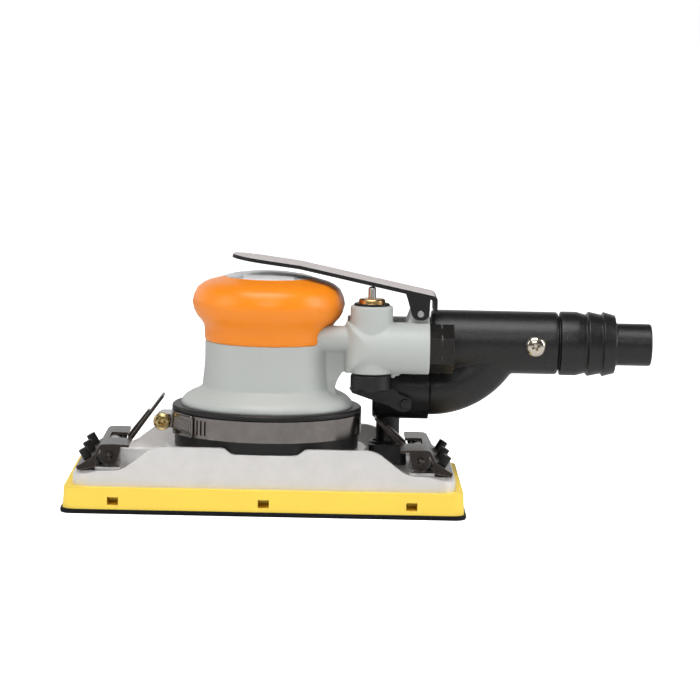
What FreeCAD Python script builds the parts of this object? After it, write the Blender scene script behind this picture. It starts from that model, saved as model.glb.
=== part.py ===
import FreeCAD, Part
import math
import os
import Sketcher

# Air-driven orbital sander. Millimetres, +Z up. The origin is on the motor axis, level with the
# underside of the pad; +X runs along the tool towards the hose end, +Y is the exhaust side.

doc = FreeCAD.newDocument("orbital_sander")
sheet = doc.addObject("Spreadsheet::Sheet", "Sizes")
V = FreeCAD.Vector


# ---- sizes: a number that remembers the spreadsheet formula it came from ----
class Size:
    def __init__(self, value, text):
        self.value = value
        self.text = text

    def __add__(self, other):
        return Size(self.value + value_of(other), f"({self.text} + {text_of(other)})")

    def __radd__(self, other):
        return self + other

    def __sub__(self, other):
        return Size(self.value - value_of(other), f"({self.text} - {text_of(other)})")

    def __rsub__(self, other):
        return Size(value_of(other) - self.value, f"({text_of(other)} - {self.text})")

    def __mul__(self, other):
        return Size(self.value * value_of(other), f"({self.text} * {text_of(other)})")

    def __rmul__(self, other):
        return self * other

    def __truediv__(self, other):
        return Size(self.value / value_of(other), f"({self.text} / {text_of(other)})")

    def __neg__(self):
        return Size(-self.value, f"(0 - {self.text})")


def value_of(size):
    return size.value if isinstance(size, Size) else float(size)


def text_of(size):
    return size.text if isinstance(size, Size) else repr(float(size))


row = 0


def cell(alias, number):
    global row
    row += 1
    sheet.set(f"A{row}", alias)
    sheet.set(f"B{row}", str(number))
    sheet.setAlias(f"B{row}", alias)
    return Size(float(number), f"Sizes.{alias}")


def bind(obj, prop, size):
    if isinstance(size, Size):
        obj.setExpression(prop, size.text)
    else:
        obj.setExpression(prop, repr(float(size)))


def place(obj, x=0, y=0, z=0, rotation=None):
    if rotation is not None:
        obj.Placement = FreeCAD.Placement(V(0, 0, 0), rotation)
    for axis, size in (("x", x), ("y", y), ("z", z)):
        bind(obj, f"Placement.Base.{axis}", size)
    return obj


# ---- sketches and bodies ----
def sketch_on(body, role):
    plane = [f for f in body.Origin.OriginFeatures if f.Role == role][0]
    sketch = body.newObject("Sketcher::SketchObject", f"{body.Name}_sketch")
    sketch.AttachmentSupport = [(plane, "")]
    sketch.MapMode = "FlatFace"
    return sketch


def outline(sketch, points):
    """Closed polygon; every corner is dimensioned from the sketch's origin."""
    corners = [V(value_of(u), value_of(v), 0) for u, v in points]
    count = len(corners)
    for i in range(count):
        sketch.addGeometry(Part.LineSegment(corners[i], corners[(i + 1) % count]), False)
    for i in range(count):
        sketch.addConstraint(Sketcher.Constraint("Coincident", i, 2, (i + 1) % count, 1))
    for i, (u, v) in enumerate(points):
        for kind, axis, size in (("DistanceX", -2, u), ("DistanceY", -1, v)):
            if value_of(size) == 0:
                sketch.addConstraint(Sketcher.Constraint("PointOnObject", i, 1, axis))
                continue
            k = sketch.addConstraint(Sketcher.Constraint(kind, i, 1, value_of(size)))
            if isinstance(size, Size):
                sketch.setExpression(f"Constraints[{k}]", size.text)


def rounded_rectangle(sketch, half_u, half_v, radius):
    a, b, r = value_of(half_u), value_of(half_v), value_of(radius)
    turn = [(1, 1, 0), (-1, 1, 90), (-1, -1, 180), (1, -1, 270)]
    for su, sv, start in turn:
        circle = Part.Circle(V(su * (a - r), sv * (b - r), 0), V(0, 0, 1), r)
        arc = Part.ArcOfCircle(circle, math.radians(start), math.radians(start + 90))
        sketch.addGeometry(arc, False)
    ends = [((a - r, b), (r - a, b)), ((-a, b - r), (-a, r - b)),
            ((r - a, -b), (a - r, -b)), ((a, r - b), (a, b - r))]
    for p, q in ends:
        sketch.addGeometry(Part.LineSegment(V(*p, 0), V(*q, 0)), False)
    for i in range(4):
        sketch.addConstraint(Sketcher.Constraint("Tangent", i, 2, 4 + i, 1))
        sketch.addConstraint(Sketcher.Constraint("Tangent", 4 + i, 2, (i + 1) % 4, 1))
    for i in (1, 2, 3):
        sketch.addConstraint(Sketcher.Constraint("Equal", 0, i))
    sketch.addConstraint(Sketcher.Constraint("Horizontal", 4))
    sketch.addConstraint(Sketcher.Constraint("Vertical", 5))
    sizes = [("Radius", (0, r), radius), ("DistanceY", (4, 1, b), half_v),
             ("DistanceX", (5, 1, -a), -1 * half_u), ("DistanceY", (6, 1, -b), -1 * half_v),
             ("DistanceX", (7, 1, a), half_u)]
    for kind, args, size in sizes:
        k = sketch.addConstraint(Sketcher.Constraint(kind, *args))
        sketch.setExpression(f"Constraints[{k}]", size.text)


def new_body(name):
    return doc.addObject("PartDesign::Body", name)


def turned(name, points, x=0, y=0, z=0, about="V_Axis"):
    """A profile (radius, height) turned about Z, or (length, radius) about X with H_Axis."""
    body = new_body(name)
    sketch = sketch_on(body, "XZ_Plane")
    outline(sketch, points)
    feature = body.newObject("PartDesign::Revolution", f"{name}_turn")
    feature.Profile = sketch
    feature.ReferenceAxis = (sketch, [about])
    feature.Angle = 360
    body.Tip = feature
    return place(body, x, y, z)


def plate_y(name, points, y_mid, width):
    """An outline (x, z) of the given width across Y, centred on y_mid."""
    body = new_body(name)
    sketch = sketch_on(body, "XZ_Plane")
    outline(sketch, points)
    feature = body.newObject("PartDesign::Pad", f"{name}_pad")
    feature.Profile = sketch
    feature.Midplane = True
    bind(feature, "Length", width)
    body.Tip = feature
    return place(body, 0, y_mid, 0)


def slab(name, half_x, half_y, radius, y_mid, z, height, taper=0):
    """A rounded rectangle lying flat."""
    body = new_body(name)
    sketch = sketch_on(body, "XY_Plane")
    rounded_rectangle(sketch, half_x, half_y, radius)
    feature = body.newObject("PartDesign::Pad", f"{name}_pad")
    feature.Profile = sketch
    bind(feature, "Length", height)
    if taper:
        feature.TaperAngle = taper
    body.Tip = feature
    return place(body, 0, y_mid, z)


# ---- primitives and booleans ----
ALONG_X = FreeCAD.Rotation(V(0, 1, 0), 90)
ALONG_Y = FreeCAD.Rotation(V(1, 0, 0), -90)


def rod(name, radius, length, x=0, y=0, z=0, rotation=None):
    obj = doc.addObject("Part::Cylinder", name)
    bind(obj, "Radius", radius)
    bind(obj, "Height", length)
    return place(obj, x, y, z, rotation)


def block(name, x, y, z, dx, dy, dz):
    obj = doc.addObject("Part::Box", name)
    bind(obj, "Length", dx)
    bind(obj, "Width", dy)
    bind(obj, "Height", dz)
    return place(obj, x, y, z)


def fuse(name, *items):
    obj = doc.addObject("Part::MultiFuse", name)
    obj.Shapes = list(items)
    obj.Refine = True
    return obj


def cut(name, base, *tools):
    obj = doc.addObject("Part::Cut", name)
    obj.Base = base
    obj.Tool = tools[0] if len(tools) == 1 else fuse(f"{name}_tools", *tools)
    obj.Refine = True
    return obj


def common(name, a, b):
    obj = doc.addObject("Part::Common", name)
    obj.Base = a
    obj.Tool = b
    return obj


nodes = []


def node(label, obj):
    obj.Label = label
    nodes.append(obj)
    return obj


# ---- driving sizes ----
orbit = cell("orbit_offset", 1.25)
pad_length = cell("pad_length", 175)
pad_width = cell("pad_width", 93)
hook_thick = cell("hook_thickness", 2)
foam_thick = cell("foam_thickness", 9.4)
plate_length = cell("plate_length", 167.4)
plate_width = cell("plate_width", 87)
plate_thick = cell("plate_floor_thickness", 4.6)
wall_thick = cell("plate_wall_thickness", 3)
wall_height = cell("plate_side_height", 17.8)
rim_radius = cell("plate_rim_radius", 45.3)
rim_height = cell("plate_rim_height", 8.9)
shroud_radius = cell("shroud_radius", 42.3)
shroud_gap = cell("shroud_gap", 0.4)
skirt_foot_radius = cell("shroud_foot_radius", 41)
band_radius = cell("band_radius", 42.4)
band_thick = cell("band_thickness", 1)
skirt_radius = cell("skirt_radius", 38.1)
motor_radius = cell("housing_radius", 28)
bore_radius = cell("motor_bore_radius", 22.2)
grip_radius = cell("grip_radius", 34)
grip_core = cell("grip_core_radius", 25)
grip_base = cell("grip_base_height", 72.2)
disc_radius = cell("top_disc_radius", 19.5)
pipe_level = cell("pipe_level", 71.2)
pipe_radius = cell("pipe_radius", 11.4)
inlet_y = cell("inlet_y", -12)
exhaust_y = cell("exhaust_y", 14)
valve_x = cell("valve_x", 45.8)
valve_radius = cell("valve_tower_radius", 9.4)
valve_top = cell("valve_top", 90)
stem_radius = cell("stem_radius", 1.7)
run_gap = cell("running_gap", 0.05)
lever_width = cell("lever_width", 28)
lever_sheet = cell("lever_sheet", 1.5)
pin_x = cell("lever_pin_x", 67.4)
pin_z = cell("lever_pin_z", 86.7)
pin_radius = cell("lever_pin_radius", 1.4)
tube_radius = cell("tube_radius", 14.1)
tube_bore = cell("tube_bore_radius", 11.5)
tube_start = cell("tube_start_x", 73)
tube_end = cell("tube_end_x", 130.4)
duct_level = cell("duct_level", 50.3)
duct_radius = cell("duct_radius", 12)
duct_bore = cell("duct_bore_radius", 9.5)
duct_bend = cell("duct_bend_radius", 33)
suction_x = cell("suction_pipe_x", 54.6)
suction_radius = cell("suction_pipe_radius", 5.3)
spigot_radius = cell("spigot_radius", 9.5)
spigot_end = cell("spigot_end_x", 172.6)
hose_bore = cell("hose_bore_radius", 7.5)
clip_x = cell("clip_pivot_x", 68.5)
clip_z = cell("clip_pivot_z", 22.8)
clip_width = cell("clip_width", 57)
clip_sheet = cell("clip_sheet", 1.3)
clip_pin = cell("clip_pin_radius", 1.6)
cylinder_offset = cell("cylinder_offset", 1.4)
cylinder_bore = cell("cylinder_bore_radius", 18.6)
rotor_radius = cell("rotor_radius", 16.8)
shaft_radius = cell("shaft_radius", 5.95)

plate_z = hook_thick + foam_thick
floor_z = plate_z + plate_thick
rim_z = floor_z + rim_height
pad_y = orbit

# ---- sanding pad: hook layer and foam with dust holes ----
hole_spots = [(x, y) for x in (-65.5, 0.0, 64.5) for y in (-28.0, 28.0)]


def dust_holes(name, z, height):
    holes = []
    for i, (hx, hy) in enumerate(hole_spots):
        holes.append(rod(f"{name}_{i}", 4, height, hx, pad_y + hy, z))
    return holes


hooks = slab("hooks", pad_length / 2 + 0.7, pad_width / 2 + 0.4, cell("hook_corner", 5), pad_y, 0, hook_thick)
node("hook_layer", cut("hook_cut", hooks, *dust_holes("hook_hole", -1, hook_thick + 2)))

foam = slab("foam", pad_length / 2, pad_width / 2, cell("foam_corner", 5.5), pad_y, hook_thick, foam_thick, -3)
channels = []
for i, cx in enumerate((-65.5, 0.0, 64.5)):
    channels.append(block(f"side_channel_{i}", cx - 2.4, pad_y - pad_width, hook_thick + 1.8,
                          4.8, pad_width * 2, 3.5))
    channels.append(block(f"cross_channel_{i}", cx - 3, pad_y - 28, plate_z - 3.5, 6, 56, 4))
channels.append(block("long_channel", -65.5, pad_y + 11, plate_z - 3.5, 130, 6, 4))
node("pad_foam", cut("foam_cut", foam, *channels, *dust_holes("foam_hole", 1, foam_thick - 1)))

# ---- backing plate: cast tray with tall sides, a rim under the shroud and a centre boss ----
half_plate = plate_length / 2
side_top = plate_z + wall_height
floor_slab = slab("plate_floor", half_plate, plate_width / 2, cell("plate_corner", 9), pad_y, plate_z, plate_thick)
side_half = [(0, plate_z), (half_plate, plate_z), (half_plate, plate_z + 4.2), (72, plate_z + 6.8),
             (65, plate_z + 7.2), (62.8, plate_z + 7.6), (61.1, plate_z + 8.3), (59.6, plate_z + 9.2),
             (58.2, plate_z + 10.3), (52.2, side_top - 3), (50.9, side_top - 2), (49.6, side_top - 1.2),
             (48, side_top - 0.6), (46.4, side_top - 0.2), (44.6, side_top),
             (19, side_top), (17.4, side_top - 0.3), (14.6, side_top - 2.4), (12.8, side_top - 2.8),
             (0, side_top - 2.8)]
mirrored = [(-1 * x, z) for x, z in reversed(side_half[1:-1])]
side_profile = side_half + mirrored
side_block = plate_y("plate_sides", side_profile, pad_y, plate_width)
plate_limit = slab("plate_limit", half_plate, plate_width / 2, cell("side_corner", 9), pad_y, plate_z, 20)
side_shape = common("plate_side_outline", side_block, plate_limit)
tray_pocket = slab("tray_pocket", half_plate - wall_thick, plate_width / 2 - wall_thick, cell("pocket_corner", 6),
                   pad_y, floor_z, 30)
tray_walls = cut("tray_walls", side_shape, tray_pocket)
rim = turned("plate_rim", [(34.5, floor_z - 1), (rim_radius, floor_z - 1), (rim_radius, rim_z - 0.8),
                           (rim_radius - 0.8, rim_z), (37, rim_z), (34.5, rim_z - 3)], 0, pad_y)
rim_trim = block("rim_trim", -60, pad_y - plate_width / 2, 0, 120, plate_width, 60)
rim_part = common("rim_inside_sides", rim, rim_trim)
hub = rod("plate_hub", 14, rim_z - floor_z + 1, 0, pad_y, floor_z - 1)
ribs = [block(f"plate_rib_{i}", sx, pad_y - 1.5, floor_z - 1, 22, 3, 6) for i, sx in enumerate((13, -35))]
tray = fuse("tray_solid", floor_slab, tray_walls, rim_part, hub, *ribs)
screw_hole = rod("screw_hole", 3.2, 40, 0, pad_y, 0)
head_hole = rod("head_hole", 5.6, 4, 0, pad_y, plate_z - 1)
dust_hole = rod("dust_hole", 5, 20, suction_x, pad_y + exhaust_y, 5)
pin_seats = [rod(f"bracket_hole_{i}", 1.5, 12, sx, pad_y - 18, plate_z - 1)
             for i, sx in enumerate((-71.5, -66.5, 66.5, 71.5))]
shroud_room = rod("shroud_room", skirt_foot_radius + orbit + 0.35, 20, 0, pad_y, rim_z)
node("backing_plate", cut("tray_cut", tray, screw_hole, head_hole, dust_hole, shroud_room, *pin_seats))

# ---- pad spindle and its screw ----
node("pad_spindle", cut("spindle_cut", turned("spindle", [
    (0, rim_z), (9, rim_z), (9, rim_z + 3), (6.2, rim_z + 3), (6.2, rim_z + 6.05),
    (4.95, rim_z + 6.05), (4.95, rim_z + 17.6), (4.3, rim_z + 18.1), (0, rim_z + 18.1)], 0, pad_y),
    rod("spindle_thread", 3, 11, 0, pad_y, rim_z - 1)))
node("plate_screw", turned("plate_screw_turn", [
    (2, plate_z), (5.3, plate_z), (5.3, plate_z + 3), (3, plate_z + 3), (3, rim_z + 9), (0, rim_z + 9),
    (0, plate_z + 2), (2, plate_z + 2)], 0, pad_y))

# ---- dust socket on the plate ----
socket_y = pad_y + exhaust_y
socket = turned("socket", [
    (5, floor_z), (8.9, floor_z), (8.9, floor_z + 1.5), (8.3, floor_z + 2), (8.3, floor_z + 9.4),
    (7.7, floor_z + 10), (6.95, floor_z + 10), (6.95, floor_z + 3.4), (5, floor_z + 3.4)],
    suction_x, socket_y)
socket_base = slab("socket_base", cell("socket_base_half_x", 8.5), cell("socket_base_half_y", 9.5),
                   cell("socket_base_corner", 3), socket_y, floor_z, 9)
bind(socket_base, "Placement.Base.x", suction_x)
socket_core = rod("socket_core", 8, 20, suction_x, socket_y, floor_z - 1)
node("suction_boss", fuse("socket_all", socket, cut("socket_base_ring", socket_base, socket_core)))

# ---- paper clips, one at each end ----
for name, side, tip_x, tip_z in (("left", -1, 22.9, 24.7), ("right", 1, 20.4, 16.4)):

    def at(dx, dz, side=side):
        """A point dx towards the tool's centre from the clip's pivot."""
        return (side * (clip_x - dx), clip_z + dz)

    bracket_plate = plate_y(f"{name}_bracket_base", [
        at(-6.4, floor_z - clip_z), at(4.6, floor_z - clip_z),
        at(4.6, floor_z - clip_z + 1.2), at(-6.4, floor_z - clip_z + 1.2)], pad_y - 8, 34)
    bracket_web = plate_y(f"{name}_bracket_web", [
        at(-3.8, floor_z - clip_z + 1), at(3.8, floor_z - clip_z + 1), at(3.8, 0), at(0, 2), at(-3.8, 0)],
        pad_y, 17)
    knuckle = rod(f"{name}_knuckle", 3.8, 17, side * clip_x, pad_y - 8.5, clip_z, ALONG_Y)
    eye = rod(f"{name}_eye", clip_pin, 60, side * clip_x, pad_y - 30, clip_z, ALONG_Y)
    rivet_spots = (66.5, 71.5)
    drills = [rod(f"{name}_fix_hole_{i}", 1.5, 3, side * sx, pad_y - 18, floor_z - 1)
              for i, sx in enumerate(rivet_spots)]
    bracket = fuse(f"{name}_bracket_all", bracket_plate, bracket_web, knuckle)
    node(f"{name}_clip_bracket", cut(f"{name}_bracket", bracket, eye, *drills))
    rivets = [turned(f"{name}_fix_{i}", [
        (0, plate_z), (1.5, plate_z), (1.5, floor_z + 1.2), (2.2, floor_z + 1.2), (2.1, floor_z + 1.8),
        (1.4, floor_z + 2.4), (0, floor_z + 2.6)], side * sx, pad_y - 18) for i, sx in enumerate(rivet_spots)]
    node(f"{name}_bracket_rivets", fuse(f"{name}_fixings", *rivets))
    axle = rod(f"{name}_axle", clip_pin, clip_width + 4, side * clip_x, pad_y - clip_width / 2 - 2, clip_z, ALONG_Y)
    node(f"{name}_clip_pin", axle)

    jaw_plate = plate_y(f"{name}_jaw_plate", [
        at(-14, -6.4), at(-6, -1.6), at(-3.4, 3.4), at(-2.6, 3.9), at(0.5, 4), at(4.6, 3.9), at(8.6, 3.7),
        at(9.1, 4.9), at(5, 5.1), at(0.5, 5.2), at(-3.2, 5), at(-4.4, 4.3), at(-7, -0.6), at(-14.4, -5.1)],
        pad_y, clip_width)
    window_x = clip_x - 6.8 if side > 0 else -1 * clip_x - 1.5
    window = block(f"{name}_window", window_x, pad_y - 8.5, clip_z + 1, 8.3, 17, 12)
    relief_x = clip_x - 12 if side > 0 else -1 * clip_x + 6
    relief = block(f"{name}_relief", relief_x, pad_y + 4.5, clip_z - 2, 6, 40, 12)
    rise = (tip_z - 4.4) / (tip_x - 7.9)
    tongue = plate_y(f"{name}_tongue", [
        at(7.2, 3.9), at(8.6, 3.7), at(tip_x, tip_z - 0.8), at(tip_x - 0.9, tip_z), at(7.6, 5.1)],
        pad_y - 3, 11)
    rib_end = 7.2 + 0.6 * (tip_x - 7.2)
    tongue_rib = plate_y(f"{name}_tongue_rib", [
        at(6.9, 4.6), at(8, 5), at(rib_end, 5.4 + rise * (rib_end - 8)),
        at(rib_end - 1, 5.9 + rise * (rib_end - 8)), at(6.7, 6)], pad_y - 3, 5)
    cheeks = []
    for i, cheek_y in enumerate((pad_y - clip_width / 2 + clip_sheet / 2, pad_y + clip_width / 2 - clip_sheet / 2)):
        cheeks.append(plate_y(f"{name}_cheek_{i}", [
            at(-3.6, 4.5), at(-4.2, 0), at(-3.8, -2.1), at(-2.2, -3.8), at(0, -4.4), at(2.2, -3.8), at(3.8, -2.1),
            at(4.3, 0), at(5.2, 4.5), at(0.5, 4.8)], cheek_y, clip_sheet))
        cheeks.append(plate_y(f"{name}_jaw_side_{i}", [
            at(-14.3, -5.3), at(-13.5, -6.65), at(-6.1, -5.2), at(-5.2, -2.2), at(-6, -1.2), at(-7, -0.8)],
            cheek_y, clip_sheet))
    jaw_sheet = cut(f"{name}_jaw_sheet", jaw_plate, window, relief)
    pivot_hole = rod(f"{name}_pivot_hole", clip_pin + run_gap, 70, side * clip_x, pad_y - 35, clip_z, ALONG_Y)
    jaw = fuse(f"{name}_jaw_all", jaw_sheet, tongue, tongue_rib, *cheeks)
    node(f"{name}_clip_jaw", cut(f"{name}_jaw", jaw, pivot_hole))

    lean = FreeCAD.Rotation(V(0, 1, 0), 30 * side)
    studs = [rod(f"{name}_stud_{i}", 2.1, 5, side * (clip_x + 9.6), pad_y + sy, clip_z - 2.3, lean)
             for i, sy in enumerate((-22.0, 0.0, 22.0))]
    jaw_face = plate_y(f"{name}_jaw_face", [
        at(-20, -12), at(2, -12), at(-5.9, -1.6), at(-7, -0.5), at(-14.3, -5.1), at(-20, -9)], pad_y, 70)
    node(f"{name}_jaw_studs", cut(f"{name}_studs", fuse(f"{name}_stud_row", *studs), jaw_face))

    coil = doc.addObject("Part::Helix", f"{name}_coil")
    coil.Pitch = 1.5
    coil.Height = 9
    coil.Radius = 3
    coil_wire = doc.addObject("Part::Circle", f"{name}_coil_wire")
    coil_wire.Radius = 0.55
    coil_wire.Placement = FreeCAD.Placement(V(3, 0, 0), FreeCAD.Rotation(V(1, 0, 0), 90))
    spring = doc.addObject("Part::Sweep", f"{name}_torsion")
    spring.Sections = [coil_wire]
    spring.Spine = (coil, ["Edge1"])
    spring.Solid = True
    spring.Frenet = True
    place(spring, side * clip_x, pad_y + 12, clip_z, ALONG_Y)
    node(f"{name}_clip_spring", spring)

# ---- motor housing: bell, valve tower and the two pipes are one casting ----
bell = turned("bell", [
    (0, 30), (skirt_radius, 30), (skirt_radius, 43.6), (38.4, 43.6), (38.3, 44.6), (37.7, 46), (36.4, 47.4),
    (34.5, 48.6), (31.5, 49.9), (motor_radius + 1, 51.6), (motor_radius + 0.8, 53.6), (motor_radius, 62.7),
    (motor_radius, grip_base), (grip_core, grip_base), (grip_core, 93), (grip_core - 2.5, 96), (0, 96)])
inlet_pipe = rod("inlet_pipe", pipe_radius, 71.6 - valve_x, valve_x, inlet_y, pipe_level, ALONG_X)
cross_pipe = rod("cross_pipe", pipe_radius, exhaust_y - inlet_y, valve_x, inlet_y, pipe_level, ALONG_Y)
corner_along = rod("corner_along", pipe_radius, 24, valve_x - 12, inlet_y, pipe_level, ALONG_X)
corner_across = rod("corner_across", pipe_radius, 24, valve_x, inlet_y, pipe_level - 12)
corner = common("corner", corner_along, corner_across)
exhaust_start = valve_x - pipe_radius + 1
exhaust_pipe = rod("exhaust_pipe", pipe_radius, tube_start + 6 - exhaust_start, exhaust_start, exhaust_y,
                   pipe_level, ALONG_X)
tower = turned("tower", [
    (0, 59.9), (valve_radius - 0.3, 59.9), (valve_radius, 60.4), (valve_radius, valve_top - 0.6),
    (valve_radius - 0.6, valve_top), (0, valve_top)], valve_x, inlet_y)
boss = rod("air_boss", 5.7, 26, 20, inlet_y, 75, ALONG_X)
web = plate_y("web", [
    (22, 50), (30.4, 50), (30.3, 53), (31.2, 56.4), (33.2, 59.6), (37, 62), (40, 64), (40, 72), (22, 72)],
    1, 24)
lug = plate_y("lug", [
    (60.8, 78), (61.6, 82), (64.2, 89.4), (65.4, 90.6), (70.2, 90.6), (71.4, 89.4), (71.6, 78)], 0, 23.6)
tab = fuse("tabs", block("tab", 54.9, inlet_y - 1, 57.8, 1.6, 2, 4),
           block("ledge", 55.4, inlet_y - 1, 58.9, 3.2, 2, 3))
casting = fuse("casting", bell, inlet_pipe, cross_pipe, corner, exhaust_pipe, tower, boss, web, lug, tab)
chamber = rod("chamber", 34, 14.6, 0, 0, 29.9)
motor_bore = rod("motor_bore", bore_radius, 43.6, 0, 0, 44.4)
thread_bore = rod("thread_bore", 8, 12, 60, inlet_y, pipe_level, ALONG_X)
inlet_bore = rod("inlet_bore", 5, 16, valve_x, inlet_y, pipe_level, ALONG_X)
valve_bore = rod("valve_bore", 6, 22, valve_x, inlet_y, 70)
knob_bore = rod("knob_bore", 4.5 + run_gap, 12, valve_x, inlet_y, 59)
feed_bore = rod("feed_bore", 3, 26, 20, inlet_y, 75, ALONG_X)
exhaust_bore = rod("exhaust_bore", 8, 50, 39, exhaust_y, pipe_level, ALONG_X)
exhaust_feed = rod("exhaust_feed", 4.5, 28, 18, 7, 64, ALONG_X)
lug_hole = rod("lug_hole", pin_radius, 40, pin_x, -20, pin_z, ALONG_Y)
node("motor_housing", cut("housing", casting, chamber, motor_bore, thread_bore, inlet_bore, valve_bore,
                          knob_bore, feed_bore, exhaust_bore, exhaust_feed, lug_hole))

# ---- grip and its top disc ----
grip_profile = [
    (grip_core, grip_base), (27.6, grip_base), (28.3, 73.2), (28.4, 77.5), (28.8, 79.3), (30, 81.2), (31.8, 83.2),
    (33.1, 85.6), (grip_radius, 89.2), (33.3, 92.5), (31.8, 95.6), (29.5, 97.5), (27, 98.7), (23, 99.8),
    (disc_radius + 0.1, 100.8), (disc_radius + 0.1, 99), (0, 99), (0, 96), (grip_core - 2.5, 96), (grip_core, 93)]
notch = rod("grip_notch", 5.9, 20, 20, inlet_y, 75, ALONG_X)
node("palm_cap", cut("grip", turned("grip_turn", grip_profile), notch))
node("top_disc", turned("disc", [
    (0, 99), (disc_radius, 99), (disc_radius, 101), (16.5, 101.8), (11, 102.6), (5, 103.1), (0, 103.3)]))

# ---- air motor inside the bell ----
node("lock_ring", turned("ring", [(12, 44.7), (bore_radius, 44.7), (bore_radius, 47.7), (12, 47.7)]))
node("lower_bearing", turned("bearing_a", [(6, 47.7), (14, 47.7), (14, 53), (6, 53)]))
node("lower_end_plate", turned("plate_a", [
    (14, 47.7), (bore_radius, 47.7), (bore_radius, 54), (7, 54), (7, 53), (14, 53)]))
ring_bore = rod("cylinder_bore", cylinder_bore, 30, cylinder_offset, 0, 50)
node("motor_cylinder", cut("cylinder", rod("cylinder_blank", bore_radius, 22, 0, 0, 54), ring_bore))
node("upper_end_plate", turned("plate_b", [
    (7, 76), (bore_radius, 76), (bore_radius, 82), (11, 82), (11, 77), (7, 77)]))
node("upper_bearing", turned("bearing_b", [(4, 77), (11, 77), (11, 84), (4, 84)]))
shaft_turn = turned("shaft_turn", [
    (0, 43), (16, 43), (16, 44.3), (8, 44.3), (8, 47.6), (shaft_radius, 47.6), (shaft_radius, 76.8),
    (3.95, 76.8), (3.95, 85.5), (0, 85.5)])
cup = rod("shaft_cup", 17, 14, 0, orbit, 30)
cup_bore = rod("cup_bore", 13, 13, 0, orbit, 30)
node("eccentric_shaft", cut("shaft", fuse("shaft_all", shaft_turn, cup), cup_bore))
weight_disc = rod("weight_disc", 30, 13, 0, 0, 30.5)
weight_room = rod("weight_room", 17.05, 20, 0, orbit, 28)
weight_half = block("weight_half", -40, -4, 28, 80, 60, 20)
node("balance_weight", cut("weight", weight_disc, weight_room, weight_half))
node("spindle_bearing", turned("bearing_c", [(5, rim_z + 6.1), (13, rim_z + 6.1), (13, 43), (5, 43)], 0, orbit))
node("bearing_clip", turned("clip_ring", [(10, 30.1), (13, 30.1), (13, rim_z + 6.1), (10, rim_z + 6.1)], 0, orbit))
slots = []
vanes = []
for i in range(5):
    turn = FreeCAD.Rotation(V(0, 0, 1), 72 * i)
    for items, label, start, stop, half in ((slots, "slot", 9.0, 20.0, 1.05), (vanes, "vane", 9.4, 16.5, 1.0)):
        blank = block(f"{label}_{i}", 0, 0, 54.2 if label == "vane" else 50, stop - start, 2 * half,
                      21.6 if label == "vane" else 30)
        blank.Placement = FreeCAD.Placement(
            turn.multVec(V(start, -half, 0)) + V(0, 0, 54.2 if label == "vane" else 50), turn)
        for axis in "xyz":
            blank.setExpression(f"Placement.Base.{axis}", None)
        items.append(blank)
rotor_blank = rod("rotor_blank", rotor_radius, 21.8, 0, 0, 54.1)
node("rotor", cut("rotor_cut", rotor_blank, rod("rotor_bore", shaft_radius, 40, 0, 0, 50), *slots))
node("rotor_vanes", fuse("vane_set", *vanes))

# ---- inlet bushing, screen, valve and regulator ----
hexagon = doc.addObject("Part::Prism", "hex_blank")
hexagon.Polygon = 6
hexagon.Circumradius = 11
hexagon.Height = 10.8
place(hexagon, 71.6, inlet_y, pipe_level, ALONG_X)
hex_stem = rod("hex_stem", 8, 11, 60.6, inlet_y, pipe_level, ALONG_X)
groove_outer = rod("groove_outer", 14, 0.6, 76.7, inlet_y, pipe_level, ALONG_X)
groove_inner = rod("groove_inner", 9.7, 0.6, 76.7, inlet_y, pipe_level, ALONG_X)
groove = cut("groove", groove_outer, groove_inner)
bush_bore = rod("bush_bore", 6, 30, 65.6, inlet_y, pipe_level, ALONG_X)
screen_seat = rod("screen_seat", 5, 10, 64.6, inlet_y, pipe_level, ALONG_X)
bush_throat = rod("bush_throat", 4, 30, 50, inlet_y, pipe_level, ALONG_X)
node("inlet_bushing", cut("bushing", fuse("bushing_all", hexagon, hex_stem), groove, bush_bore, screen_seat, bush_throat))
screen = rod("screen_disc", 5, 0.8, 64.6, inlet_y, pipe_level, ALONG_X)
pores = [rod(f"pore_{i}", 0.8, 4, 63, inlet_y + 3.2 * math.cos(i * math.pi / 3),
             pipe_level + 3.2 * math.sin(i * math.pi / 3), ALONG_X) for i in range(6)]
node("inlet_screen", cut("screen", screen, *pores))
node("valve_sleeve", turned("sleeve", [
    (stem_radius + run_gap, 79), (6, 79), (6, valve_top + 1), (5.85, valve_top + 1.1), (5.85, valve_top + 2.4),
    (5.3, valve_top + 3), (stem_radius + run_gap, valve_top + 3)], valve_x, inlet_y))
node("valve_washer", turned("washer", [
    (6, valve_top), (7.85, valve_top), (7.85, valve_top + 0.7), (7.5, valve_top + 1), (6, valve_top + 1)],
    valve_x, inlet_y))
node("valve_seat", turned("seat", [(2.6, 77), (6, 77), (6, 79), (2.6, 79)], valve_x, inlet_y))
node("valve_stem", turned("stem", [
    (0, 73), (stem_radius, 73), (stem_radius, 97.7), (stem_radius - 0.6, 98.2), (0, 98.5)], valve_x, inlet_y))
node("valve_plug", turned("plug", [(stem_radius, 73.4), (4, 73.4), (4, 76.4), (stem_radius, 76.4)], valve_x, inlet_y))
valve_coil = doc.addObject("Part::Helix", "valve_coil")
valve_coil.Pitch = 1.5
valve_coil.Height = 4.2
valve_coil.Radius = 3
valve_wire = doc.addObject("Part::Circle", "valve_wire")
valve_wire.Radius = 0.5
valve_wire.Placement = FreeCAD.Placement(V(3, 0, 0), FreeCAD.Rotation(V(1, 0, 0), 90))
valve_spring = doc.addObject("Part::Sweep", "valve_spring_sweep")
valve_spring.Sections = [valve_wire]
valve_spring.Spine = (valve_coil, ["Edge1"])
valve_spring.Solid = True
valve_spring.Frenet = True
place(valve_spring, valve_x, inlet_y, 68.6)
node("valve_spring", valve_spring)
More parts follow.
